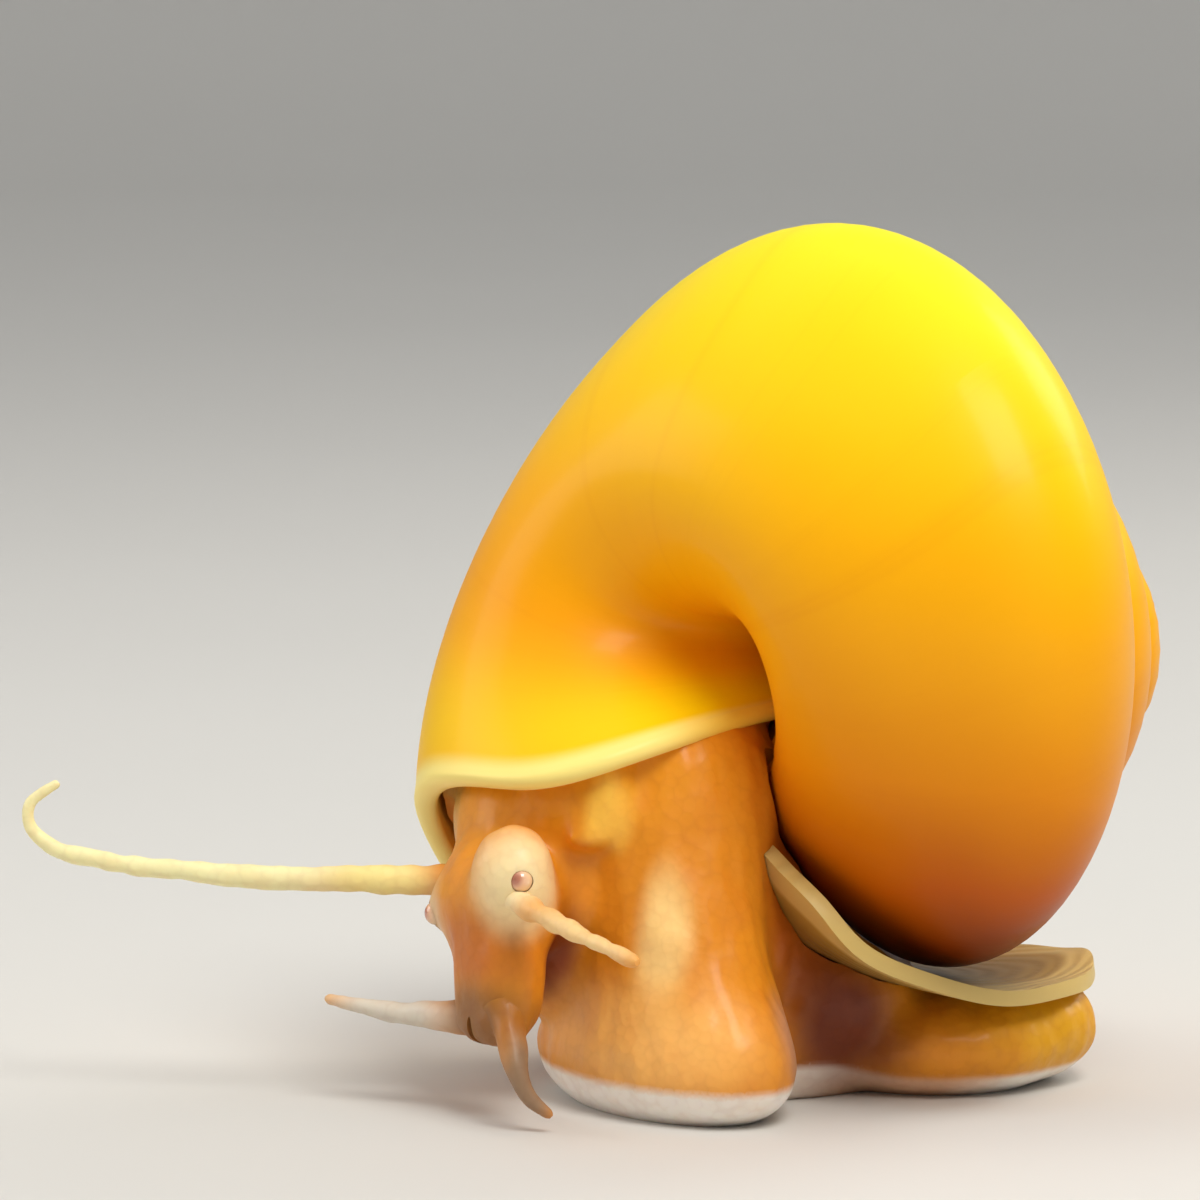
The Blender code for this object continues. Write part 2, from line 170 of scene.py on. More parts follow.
def keep_largest(piece):
    """Only the largest closed surface of a piece stays."""
    shape = bmesh.new()
    shape.from_mesh(piece.data)
    waiting = set(shape.verts)
    bodies = []
    while waiting:
        body = [waiting.pop()]
        for corner in body:
            for link in corner.link_edges:
                other = link.other_vert(corner)
                if other in waiting:
                    waiting.remove(other)
                    body.append(other)
        bodies.append(body)
    bodies.sort(key=len)
    for body in bodies[:-1]:
        bmesh.ops.delete(shape, geom=body, context='VERTS')
    shape.to_mesh(piece.data)
    shape.free()


def open_edges(items):
    """The edges among them that have a face on one side only."""
    return [item for item in items if isinstance(item, bmesh.types.BMEdge) and item.is_boundary]


def ringed_tube(name, sides, rings):
    """A closed tube of rings, each extruded from the one before.

    A ring is its station along the tube and a function from the angle round the tube to a point.
    The UV map "course" holds the station and the share of the way round.
    """
    shape = bmesh.new()
    around = shape.verts.layers.float.new("around")
    station = shape.verts.layers.float.new("station")
    bmesh.ops.create_circle(shape, segments=sides, radius=1)
    for corner in shape.verts:
        corner[around] = math.atan2(corner.co.y, corner.co.x)
    corners = shape.verts[:]
    edges = shape.edges[:]
    first_rim = edges
    for step, (place, point_at) in enumerate(rings):
        if step:
            made = bmesh.ops.extrude_edge_only(shape, edges=edges)["geom"]
            corners = [item for item in made if isinstance(item, bmesh.types.BMVert)]
            edges = open_edges(made)
        for corner in corners:
            corner[station] = place
            corner.co = point_at(corner[around])
    for rim in (first_rim, edges):
        made = bmesh.ops.extrude_edge_only(shape, edges=rim)["geom"]
        hub = [item for item in made if isinstance(item, bmesh.types.BMVert)]
        middle = sum((corner.co for corner in hub), Vector()) / len(hub)
        bmesh.ops.pointmerge(shape, verts=hub, merge_co=middle)
    course = shape.loops.layers.uv.new("course")
    for face in shape.faces:
        start = face.loops[0].vert[around]
        for corner in face.loops:
            angle = corner.vert[around]
            angle -= 2 * math.pi * round((angle - start) / (2 * math.pi))
            corner[course].uv = (corner.vert[station], angle / (2 * math.pi))
    bmesh.ops.recalc_face_normals(shape, faces=shape.faces[:])
    return add_object(name, shape)


def coil_ring(turn, inset, onward=0.0):
    """A ring of the shell's tube."""
    return turn, lambda angle: shell_point(turn, angle, inset, onward)


def coil(name, first, last, steps, inset, sides=SHELL_SIDES, ending=()):
    """A stretch of the shell's tube between two turns, with the rings of its ending added."""
    turns = [first + (last - first) * i / steps for i in range(steps + 1)]
    return ringed_tube(name, sides, [coil_ring(turn, inset) for turn in turns] + list(ending))


def lip_profile(steps=6):
    """The rounded lip, as (inset, onward) from the outer side over the edge to the inner side."""
    radius = (WALL + LIP_SWELL) / 2
    swing = [math.pi * i / (2 * steps) for i in range(2 * steps + 1)]
    return [(radius - LIP_SWELL - radius * math.cos(a), radius * math.sin(a)) for a in swing]


def make_shell(name):
    """The coiled shell with a hollow behind its mouth and a rounded lip."""
    stretches = []
    first = -TURNS
    profile = lip_profile()
    half = len(profile) // 2
    for steps in STEPS_PER_HALF_TURN:
        last = first + 0.5
        ending = []
        if last == 0:
            last = -LIP_BAND / (2 * math.pi * (LIP_RADIUS + TUBE_RADIAL))
            for i in range(1, LIP_RINGS + 1):
                swell = LIP_SWELL * math.sin(math.pi / 2 * i / LIP_RINGS) ** 2
                ending.append(coil_ring(last * (1 - i / LIP_RINGS), -swell))
            ending += [coil_ring(0, inset, onward) for inset, onward in profile[1:half + 1]]
        stretches.append(coil("stretch", first, last, steps, 0.0, ending=ending))
        first += 0.5
    shell = stretches.pop()
    combine(shell, stretches, 'UNION')
    keep_largest(shell)
    inner = [coil_ring(0, inset + SLIVER, onward) for inset, onward in reversed(profile[half:])]
    inner.append(coil_ring(0, profile[half][0] + SLIVER, PAST_LIP))
    hollow = coil("hollow", -CAVITY_TURNS, -0.01, HOLLOW_STEPS, WALL, ending=inner)
    combine(hollow, [coil("earlier", *EARLIER_TURNS, EARLIER_STEPS, 0.0)], 'DIFFERENCE')
    keep_largest(hollow)
    combine(shell, [hollow], 'DIFFERENCE')
    keep_largest(shell)
    shell.name = name
    return shell


def wear(piece, material):
    """The piece's only material, smooth over every face."""
    piece.data.materials.clear()
    piece.data.materials.append(material)
    piece.data.shade_smooth()
    piece.data.set_sharp_from_angle(angle=math.radians(45))


class Amount:
    """A number that varies over a surface: arithmetic on it adds Math nodes to its finish."""

    def __init__(self, finish, socket):
        self.finish = finish
        self.socket = socket

    def math(self, operation, *values):
        """The result of a Math node on numbers and amounts."""
        return self.finish.node("ShaderNodeMath", {"operation": operation}, dict(enumerate(values)))

    def __add__(self, other):
        return self.math('ADD', self, other)

    def __sub__(self, other):
        return self.math('SUBTRACT', self, other)

    def __rsub__(self, other):
        return self.math('SUBTRACT', other, self)

    def __mul__(self, other):
        return self.math('MULTIPLY', self, other)

    def __pow__(self, other):
        return self.math('POWER', self, other)

    __radd__ = __add__
    __rmul__ = __mul__

    def between(self, low, high):
        """0 at low and 1 at high, with a smooth rise."""
        settings = {"interpolation_type": 'SMOOTHSTEP'}
        return self.finish.node("ShaderNodeMapRange", settings,
                                {"Value": self, "From Min": low, "From Max": high})

    def wave(self):
        """The sine of the amount, between 0 and 1."""
        return 0.5 + 0.5 * self.math('SINE', self)


class Finish:
    """A material and its nodes, with what is the same all over set on the shader itself."""

    def __init__(self, name, constants):
        self.material = bpy.data.materials.new(name)
        self.material.use_nodes = True
        self.tree = self.material.node_tree
        self.shader = self.tree.nodes["Principled BSDF"]
        self.feed(self.shader, constants)

    def feed(self, made, values):
        """Link or set a node's sockets."""
        for key, value in values.items():
            if isinstance(value, Amount):
                self.tree.links.new(value.socket, made.inputs[key])
            else:
                made.inputs[key].default_value = value

    def node(self, kind, settings, values, output=0):
        """Any node: its settings come first, then the values or links of its sockets."""
        made = self.tree.nodes.new(kind)
        for key, value in settings.items():
            if key == "stops":
                while len(made.color_ramp.elements) < len(value):
                    made.color_ramp.elements.new(0.5)
                for stop, (place, color) in zip(made.color_ramp.elements, value):
                    stop.position = place
                    stop.color = color
            else:
                setattr(made, key, value)
        self.feed(made, values)
        return Amount(self, made.outputs[output])

    def place(self):
        """The point of the surface, in metres."""
        return self.node("ShaderNodeTexCoord", {}, {}, "Object")

    def split(self, vector):
        """The three numbers of a vector."""
        parts = self.node("ShaderNodeSeparateXYZ", {}, {"Vector": vector})
        return [Amount(self, socket) for socket in parts.socket.node.outputs]

    def noise(self, size, detail=3.0):
        """Cloudy noise between 0 and 1 whose blobs are about as large as size."""
        values = {"Vector": self.place(), "Scale": 1 / size, "Detail": detail, "Roughness": 0.55}
        return self.node("ShaderNodeTexNoise", {}, values)

    def ramp(self, amount, stops):
        """The colour at an amount between 0 and 1, from stops of a place and a colour."""
        return self.node("ShaderNodeValToRGB", {"stops": stops}, {"Fac": amount})

    def mix(self, share, first, second, blend='MIX'):
        """The first colour where share is 0 and the second where it is 1."""
        settings = {"data_type": 'RGBA', "blend_type": blend}
        return self.node("ShaderNodeMix", settings, {0: share, 6: first, 7: second}, 2)

    def bump(self, height, depth):
        """The surface's normal, bent by a height between 0 and 1 that stands for a depth."""
        return self.node("ShaderNodeBump", {},
                         {"Height": height, "Distance": depth, "Strength": 1.0})


def paint(red, green, blue):
    """A colour from its values on a screen, 0 to 255."""
    shares = [value / 255 for value in (red, green, blue)]
    return (*[s / 12.92 if s < 0.04 else ((s + 0.055) / 1.055) ** 2.4 for s in shares], 1.0)


# The shell's colour runs with height, from brown red at its foot to golden yellow above: partly the
# body seen through the shell, partly painted shade beneath and painted light above.
GOLD_FOOT = 6 * MM
GOLD_SPAN = 38 * MM
GOLD_BLUR = 3 * MM
GOLD_IN_MIDDLE = 0.97
PAINTED_LIGHT_PER_METRE_BACK = 11.0
YOUNG_TURNS = (-0.15, -0.02)
YOUNG_EDGE_PAINTED_LIGHT = 0.44
LIP_TURNS = (-0.018, -0.004)
LIP_FADE = (-4 * MM, -10 * MM)


def shell_finish():
    """Golden yellow above, towards the back and at the young edge, orange lower down, brown red
    beneath: partly the body seen through the shell, partly painted light above, at the back and at
    the young edge, and painted shade beneath.
    """
    finish = Finish("golden shell", {"Coat Roughness": 0.18, "Specular IOR Level": 0.14})
    y, z = finish.split(finish.place())[1:]
    turn = finish.split(finish.node("ShaderNodeUVMap", {"uv_map": "course"}, {}))[0]
    clouds = finish.noise(9 * MM, detail=1.0)
    gold_and_painted_light = (z + (clouds - 0.5) * GOLD_BLUR - GOLD_FOOT) * (1 / GOLD_SPAN)
    # Painted light: the yellow is raised towards the back of the shell, where the lamp falls.
    gold_and_painted_light = gold_and_painted_light * (GOLD_IN_MIDDLE + y * PAINTED_LIGHT_PER_METRE_BACK)
    # Painted light: the young edge beside the lip is raised towards golden yellow, as where light
    # falls on it from the front.
    gold_and_painted_light = gold_and_painted_light + turn.between(*YOUNG_TURNS) * YOUNG_EDGE_PAINTED_LIGHT
    # The darkest stops are painted shade beneath the shell, and the palest are painted light on its
    # top.
    color = finish.ramp(gold_and_painted_light, [
        (0.00, paint(76, 22, 0)),
        (0.05, paint(126, 48, 0)),
        (0.14, paint(196, 92, 0)),
        (0.28, paint(240, 144, 0)),
        (0.55, paint(255, 180, 0)),
        (0.80, paint(255, 214, 0)),
        (1.00, paint(255, 240, 20)),
    ])
    lines = finish.node("ShaderNodeTexNoise", {"noise_dimensions": '1D'},
                        {"W": turn, "Scale": 34.0, "Detail": 5.0, "Roughness": 0.62})
    color = finish.mix(lines.between(0.50, 0.90) * 0.10, color, paint(214, 96, 4))
    lip = turn.between(*LIP_TURNS) * (0.3 + 0.7 * y.between(*LIP_FADE))
    color = finish.mix(lip * 0.8, color, paint(255, 240, 150))
    finish.feed(finish.shader, {
        "Base Color": color,
        "Roughness": 0.38 + 0.16 * clouds,
        "Coat Weight": 0.06 + 0.10 * clouds,
        "Normal": finish.bump(lines + 0.25 * finish.noise(1.2 * MM, detail=1.0), 0.02 * MM),
    })
    return finish.material


shell = make_shell("snail_shell")
wear(shell, shell_finish())
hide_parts("shell")
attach(shell, "root")

# The operculum is a horny oval plate, grown in rings, that the foot carries behind the column
# and that shuts the mouth when the snail draws in. Here it lies on the tail, under the shell.
# Its course runs from the column back along the tail, as (y, z) in millimetres.
OPERCULUM_THICK = 0.8 * MM
OPERCULUM_HALF_WIDTH = 7.7 * MM
OPERCULUM_COURSE = [
    (-3.5, 13.4),
    (-2.6, 10.8),
    (-0.7, 8.4),
    (2.9, 6.5),
    (7.4, 5.5),
    (12.3, 5.2),
    (16.7, 5.9),
]
OPERCULUM_SHIFT = 1.2 * MM
OPERCULUM_WAVE = 0.12 * MM
OPERCULUM_WAVES = 9
OPERCULUM_EDGE = 0.22 * MM


def smooth_path(points, count):
    """Points along a smooth curve through the given ones."""
    ends = [2 * points[0] - points[1]] + points + [2 * points[-1] - points[-2]]
    spans = len(points) - 1
    path = []
    for i in range(count + 1):
        place = i / count * spans
        span = min(int(place), spans - 1)
        t = place - span
        a, b, c, d = ends[span:span + 4]
        bend = (2 * a - 5 * b + 4 * c - d) * t ** 2 + (3 * b - a - 3 * c + d) * t ** 3
        path.append((2 * b + (c - a) * t + bend) / 2)
    return path


def make_operculum(name, clearance, columns=72, rows=44):
    """The oval plate, or the space that it takes up with a clearance all round it."""
    middles = [Vector((OPERCULUM_SHIFT, y * MM, z * MM)) for y, z in OPERCULUM_COURSE]
    course = smooth_path(middles, 80)
    shape = bmesh.new()
    bmesh.ops.create_grid(shape, x_segments=columns, y_segments=rows, size=1)
    oval = shape.loops.layers.uv.new("oval")
    margin = 1 + clearance / OPERCULUM_HALF_WIDTH
    for face in shape.faces:
        for corner in face.loops:
            corner[oval].uv = corner.vert.co.xy
    for corner in shape.verts:
        u, v = corner.co.x, corner.co.y
        along = u * math.sqrt(1 - v * v / 2)
        side = v * math.sqrt(1 - u * u / 2)
        across = side * OPERCULUM_HALF_WIDTH * margin
        place = (0.5 + 0.5 * along * margin) * (len(course) - 1)
        span = max(0, min(int(place), len(course) - 2))
        middle = course[span].lerp(course[span + 1], place - span)
        out = math.hypot(along, side)
        wave = OPERCULUM_WAVE * out ** 6 * math.sin(OPERCULUM_WAVES * math.atan2(side, along))
        corner.co = middle + Vector((across, 0, wave))
    plate = add_object(name, shape)
    solid = plate.modifiers.new("thickness", 'SOLIDIFY')
    solid.thickness = OPERCULUM_THICK + 2 * clearance
    solid.offset = 0
    solid.use_even_offset = True
    settle(plate)
    return plate


def operculum_finish():
    """Olive brown horn in fine rings, darker in the middle and pale at its worn edge."""
    finish = Finish("operculum horn", {"Coat Weight": 0.15, "Coat Roughness": 0.3})
    u, v = finish.split(finish.node("ShaderNodeUVMap", {"uv_map": "oval"}, {}))[:2]
    ragged = finish.noise(2.5 * MM)
    out = (u * u + v * v) ** 0.5 + ragged * 0.05
    rings = (out * 62.0).wave()
    color = finish.ramp(out, [
        (0.00, paint(96, 66, 20)),
        (0.55, paint(142, 108, 38)),
        (0.90, paint(178, 142, 58)),
        (0.97, paint(216, 186, 108)),
    ])
    flat = finish.split(finish.node("ShaderNodeNewGeometry", {}, {}, "Normal"))[2]
    rings = rings * flat.math('ABSOLUTE', flat).between(0.6, 0.85)
    color = finish.mix(rings * 0.06, color, paint(96, 60, 22))
    finish.feed(finish.shader, {
        "Base Color": color,
        "Roughness": 0.42 + 0.2 * ragged,
        "Normal": finish.bump(rings + ragged, 0.05 * MM),
    })
    return finish.material


operculum = make_operculum("horny_operculum", 0.0)
edge = operculum.modifiers.new("worn edge", 'BEVEL')
edge.width = OPERCULUM_EDGE
edge.segments = 3
edge.limit_method = 'ANGLE'
edge.angle_limit = math.radians(50)
settle(operculum)
wear(operculum, operculum_finish())
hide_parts("operculum")
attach(operculum, "root")

# The body is one wet skin over muscle: a mantle that lines the shell's mouth, a short head on a
# thick neck, two palps at the mouth, two long feelers, and a broad foot with a thick pale edge.
# It is moulded from rounded masses that are fused and smoothed, and cut clear of shell and plate.
GAP = 0.3 * MM
ROOM_SIDES = 72
PLATE_GAP = 0.06 * MM
MANTLE_TURNS = (-0.15, -0.006)
# Each mass: its middle and its half sizes, in millimetres
MASSES = {
    "snout": ((-1.3, -15.9, 7.2), (3.2, 2.0, 3.8)),
    "lips": ((-0.7, -16.6, 4.9), (3.0, 1.5, 1.3)),
    "head": ((-2.6, -15.2, 10.3), (4.3, 2.7, 3.1)),
    "left lobe": ((0.2, -15.9, 12.3), (2.2, 2.1, 2.5)),
    "right lobe": ((-5.2, -16.2, 10.0), (1.5, 1.5, 1.6)),
    "neck": ((-4.2, -11.4, 11.0), (4.6, 5.4, 4.4)),
    "throat": ((-4.6, -10.2, 8.2), (4.2, 4.4, 4.2)),
    "collar": ((-5.4, -7.4, 13.8), (7.0, 8.0, 5.2)),
    "mantle right": ((-6.2, -12.0, 14.4), (3.4, 2.7, 2.8)),
    "mantle middle": ((-3.2, -11.2, 15.0), (4.0, 3.0, 2.8)),
    "mantle left": ((-1.2, -10.2, 15.2), (3.2, 3.2, 2.8)),
    "column": ((-1.6, -3.8, 9.0), (5.6, 5.4, 7.4)),
    "middle foot": ((-1.2, 0.5, 3.0), (4.8, 8.0, 3.9)),
    "tail": ((0.0, 8.6, 2.5), (7.8, 7.6, 3.3)),
    "tail end": ((0.6, 12.0, 2.9), (6.3, 4.7, 3.3)),
    "tail root": ((-0.8, 2.0, 5.2), (5.6, 5.0, 4.4)),
}
# The column over the front of the foot: height, middle (x, y), half width, half depth
TRUNK = [
    (-1.0, 0.0, -7.1, 3.6, 2.0),
    (0.0, 0.0, -7.1, 7.0, 3.7),
    (0.8, 0.0, -7.1, 8.6, 4.5),
    (1.9, 0.0, -7.1, 9.4, 5.0),
    (3.2, 0.0, -7.1, 9.4, 5.0),
    (5.0, 0.2, -7.1, 8.4, 4.6),
    (7.0, 0.3, -7.1, 6.7, 4.4),
    (9.5, 0.1, -6.9, 5.7, 4.5),
    (12.5, -0.5, -6.3, 5.2, 4.9),
    (15.5, -1.0, -5.6, 5.0, 5.3),
    (18.0, -1.5, -5.6, 4.6, 4.9),
    (20.5, -2.4, -6.6, 3.6, 3.8),
]
# Each feeler: its course, the radius of its root, the radius of its tip, and its steps
FEELERS = {
    "tentacle_right": ([
        (-3.6, -14.4, 11.0), (-6.4, -15.8, 11.1), (-9.2, -19.4, 11.1), (-12.0, -23.0, 11.1),
        (-15.1, -26.5, 11.3), (-17.8, -29.4, 11.7), (-19.2, -31.2, 12.2), (-20.1, -32.3, 13.3),
        (-20.1, -32.3, 14.6), (-19.4, -31.1, 15.6),
    ], 0.95, 0.22, 320),
    "tentacle_left": ([
        (-0.8, -15.6, 11.7), (1.0, -16.4, 11.3), (4.0, -16.6, 10.8), (8.0, -16.4, 10.2),
        (12.4, -16.0, 9.5),
    ], 0.95, 0.3, 130),
    "palp_right": ([
        (-1.6, -16.0, 4.9), (-3.6, -17.3, 4.8), (-6.2, -18.7, 4.7), (-8.3, -19.9, 4.9),
        (-10.0, -20.9, 5.1),
    ], 1.15, 0.25, 90),
    "palp_left": ([
        (0.6, -16.6, 5.6), (2.0, -17.0, 4.2), (2.9, -17.2, 2.9), (3.4, -16.8, 1.7),
        (4.1, -16.0, 0.8),
    ], 1.1, 0.22, 70),
}
# The siphon is a rolled fold of the mantle under the lip, fused with the masses
SIPHON = ([
    (0.9, -10.6, 17.6), (1.3, -11.1, 16.7), (1.4, -10.8, 15.4), (1.2, -11.2, 14.5),
    (0.9, -12.0, 13.9), (0.3, -13.0, 14.0),
], 0.9, 0.7, 60)
EYES = {
    "eye_left": Vector((1.8, -16.4, 12.2)) * MM,
    "eye_right": Vector((-5.5, -17.1, 9.7)) * MM,
}
EYE_RADIUS = 0.6 * MM
MOUTH = (Vector((-0.7, -17.9, 4.3)) * MM, Vector((0.22, 0.9, 0.9)) * MM)
EYE_SOCKET_RADIUS = EYE_RADIUS + 0.05 * MM
VOXEL = 0.28 * MM
SMOOTHING_ROUNDS = 36
FEELER_TAPER = 0.65
FEELER_END_STEPS = 4
FEELER_RING_STEPS = 6
FEELER_RING_SWELL = 0.012


def add_ball(shape, middle, sizes, segments=48):
    """A rounded mass of flesh in a mesh that is being built."""
    place = Matrix.Translation(Vector(middle)) @ Matrix.Diagonal((*sizes, 1))
    bmesh.ops.create_uvsphere(shape, u_segments=segments, v_segments=segments // 2,
                              radius=1, matrix=place)


def make_feeler(name, points, root, tip, steps):
    """A round feeler that tapers to its tip in soft rings, along a smooth course."""
    path = smooth_path([Vector(point) * MM for point in points], steps)
    side = Vector((0, 0, 1))
    rings = []
    for i, point in enumerate(path):
        ahead = (path[min(i + 1, steps)] - path[max(i - 1, 0)]).normalized()
        side = (side - ahead * side.dot(ahead)).normalized()
        share = i / steps
        radius = (root + (tip - root) * share ** FEELER_TAPER) * MM
        radius *= 1 + FEELER_RING_SWELL * share * math.sin(2 * math.pi * i / FEELER_RING_STEPS)
        past = i - steps + FEELER_END_STEPS
        if past > 0:
            radius *= math.sqrt(1 - (past / (FEELER_END_STEPS + 0.4)) ** 2)
        rings.append((share, feeler_ring(point, side, ahead.cross(side), radius)))
    return ringed_tube(name, 24, rings)


def feeler_ring(middle, side, other, radius):
    """A round ring of a feeler."""
    return lambda angle: middle + (side * math.cos(angle) + other * math.sin(angle)) * radius


def trunk_ring(level):
    """One level of the trunk."""
    height, x, y, wide, deep = level

    def point_at(angle):
        return Vector((x + wide * math.cos(angle), y + deep * math.sin(angle), height)) * MM

    return height, point_at


def make_room():
    """The space that the shell takes up, with a gap all round it."""
    room = coil("room", -0.5, 0.004, 40, -GAP, sides=ROOM_SIDES)
    earlier = [coil("room", -turn - 0.5, -turn, 30, -GAP, sides=ROOM_SIDES) for turn in (0.5, 1.0)]
    combine(room, earlier, 'UNION')
    hollow = coil("hollow", -CAVITY_TURNS, 0.05, 30, WALL + GAP, sides=ROOM_SIDES)
    combine(hollow, [coil("earlier", *EARLIER_TURNS, 56, -GAP, sides=ROOM_SIDES)], 'DIFFERENCE')
    keep_largest(hollow)
    combine(room, [hollow], 'DIFFERENCE')
    keep_largest(room)
    return room


def make_flesh(name):
    """The whole soft body: masses fused and smoothed, with feelers, cut clear of what it carries."""
    shape = bmesh.new()
    for middle, sizes in MASSES.values():
        add_ball(shape, Vector(middle) * MM, Vector(sizes) * MM)
    plug = coil("plug", *MANTLE_TURNS, 12, 0.6 * WALL, sides=64)
    levels = smooth_path([Vector(level) for level in TRUNK], 60)
    trunk = ringed_tube("trunk", 48, map(trunk_ring, levels))
    for core in (plug, trunk, make_feeler("siphon", *SIPHON)):
        shape.from_mesh(core.data)
        bpy.data.objects.remove(core)
    flesh = add_object(name, shape)
    fuse = flesh.modifiers.new("fuse", 'REMESH')
    fuse.mode = 'VOXEL'
    fuse.voxel_size = VOXEL
    soften = flesh.modifiers.new("soften", 'SMOOTH')
    soften.factor = 0.5
    soften.iterations = SMOOTHING_ROUNDS
    settle(flesh)
    keep_largest(flesh)
    combine(flesh, [make_feeler(part, *sizes) for part, sizes in FEELERS.items()], 'UNION')
    combine(flesh, [make_room(), make_operculum("room", PLATE_GAP, 40, 24)], 'DIFFERENCE')
    keep_largest(flesh)
    cuts = bmesh.new()
    for middle in EYES.values():
        add_ball(cuts, middle, [EYE_SOCKET_RADIUS] * 3, 24)
    add_ball(cuts, *MOUTH, 24)
    combine(flesh, [add_object("cuts", cuts)], 'DIFFERENCE')
    shape = bmesh.new()
    shape.from_mesh(flesh.data)
    everything = shape.verts[:] + shape.edges[:] + shape.faces[:]
    sole = bmesh.ops.bisect_plane(shape, geom=everything, plane_co=(0, 0, 0), plane_no=(0, 0, -1),
                                  clear_outer=True)["geom_cut"]
    rim = [item for item in sole if isinstance(item, bmesh.types.BMEdge)]
    bmesh.ops.holes_fill(shape, edges=rim)
    shape.to_mesh(flesh.data)
    shape.free()
    return flesh


# The skin's colours, laid one over another: where each lies and how far it reaches, in millimetres,
# and what it is. Some of them are painted shade, as marked. The feelers' own come last, as they lie
# over the head's.
SKIN_GROUND = paint(226, 142, 26)
SKIN_TINTS = [
    ((-5.0, -9.0, 17.0), (9.0, 11.0, 5.5), paint(244, 162, 10)),
    ((-9.0, -14.0, 15.5), (3.0, 3.5, 3.5), paint(196, 140, 44)),
    ((-1.3, -16.6, 8.6), (3.6, 3.0, 2.6), paint(200, 112, 30)),
    ((-0.6, -17.0, 5.0), (3.6, 3.0, 2.4), paint(144, 94, 44)),
    # Painted shade: dark brown in the hollow between the head and the column.
    ((-1.0, -13.2, 7.5), (2.6, 1.8, 5.0), paint(140, 62, 8)),
    ((1.2, -16.2, 12.0), (2.8, 2.6, 3.0), paint(255, 230, 176)),
    ((-5.4, -17.0, 9.4), (2.0, 1.8, 2.2), paint(226, 184, 140)),
    ((4.5, -10.0, 9.4), (1.7, 1.8, 5.4), paint(255, 210, 134)),
    # Painted shade: brown on the column's left side, under the shell and the plate.
    ((3.4, -1.4, 10.0), (4.6, 3.2, 6.0), paint(182, 90, 6)),
    ((3.0, -9.8, 4.0), (9.0, 5.0, 3.6), paint(255, 188, 100)),
    # Painted shade: grey mauve in the fold between the front of the foot and the tail.
    ((7.6, -3.6, 4.2), (3.0, 2.4, 3.0), paint(206, 146, 104)),
    # Painted shade: dark brown on the left side of the tail's front, under the plate.
    ((6.0, 0.6, 3.6), (6.4, 3.6, 5.2), paint(122, 50, 8)),
    ((4.0, 12.0, 3.4), (7.0, 6.4, 4.0), paint(226, 164, 10)),
    ((1.7, -11.6, 15.2), (0.8, 2.0, 2.4), paint(255, 196, 70)),
]
FEELER_TINTS = [
    ((-16.0, -27.0, 12.4), (12.5, 15.0, 10.0), paint(250, 240, 184)),
    ((-8.4, -18.4, 11.1), (2.6, 3.2, 1.3), paint(250, 228, 150)),
    ((8.0, -16.4, 10.4), (6.0, 2.0, 1.8), paint(246, 206, 142)),
    ((-6.8, -18.9, 4.7), (5.0, 3.4, 1.8), paint(216, 206, 190)),
    ((3.2, -16.8, 2.4), (2.2, 1.8, 3.2), paint(152, 122, 94)),
]
FOOT_EDGE_COLOR = paint(255, 248, 240)
FOOT_EDGE_TOP = 2.1 * MM
FOOT_EDGE_BLUR = 0.5 * MM
FOOT_EDGE_THINS = 0.7 * MM
FOOT_EDGE_FRONT = -13 * MM
FOOT_SHADE_AT = 3.6 * MM
FOOT_SHADE_REACH = 4.4 * MM
TINT_CORE = 0.4
TINT_END = 1.2
WRINKLE_DEPTH = 0.10 * MM


def blend_colors(first, second, share):
    """A colour part of the way from one to another."""
    return [a + (b - a) * share for a, b in zip(first, second)]


def ease(share):
    """A smooth rise from 0 to 1."""
    share = min(1.0, max(0.0, share))
    return share * share * (3 - 2 * share)


def tint_skin(piece):
    """Write the skin's colours on its points, from the lists above, and the foot's pale edge."""
    colors = piece.data.color_attributes.new("tint", 'FLOAT_COLOR', 'POINT')
    for point, entry in zip(piece.data.vertices, colors.data):
        color = SKIN_GROUND
        for tints in (SKIN_TINTS, FEELER_TINTS):
            for middle, sizes, tint in tints:
                away = [(a / MM - b) / c for a, b, c in zip(point.co, middle, sizes)]
                share = ease((TINT_END - math.hypot(*away)) / (TINT_END - TINT_CORE))
                if share:
                    color = blend_colors(color, tint, share)
        top = FOOT_EDGE_TOP - FOOT_EDGE_THINS * ease(point.co.y / (4 * MM))
        edge = ease((top - point.co.z) / FOOT_EDGE_BLUR) * (point.co.y > FOOT_EDGE_FRONT)
        shade = ease(1.4 - abs(point.co.y - FOOT_SHADE_AT) / FOOT_SHADE_REACH)
        entry.color = blend_colors(color, FOOT_EDGE_COLOR, edge * (0.95 - 0.6 * shade))


def wrinkle_skin(piece):
    """Fine upright folds and a soft unevenness, which fade out at the flat of the sole."""
    normals = [point.normal.copy() for point in piece.data.vertices]
    for point, normal in zip(piece.data.vertices, normals):
        place = point.co / MM
        folds = noise.noise(Vector((place.x * 1.1, place.y * 1.1, place.z * 0.35)))
        lumps = noise.noise(place * 0.6)
        above_sole = ease(place.z - 0.4)
        point.co += normal * ((folds + lumps) * above_sole * WRINKLE_DEPTH)


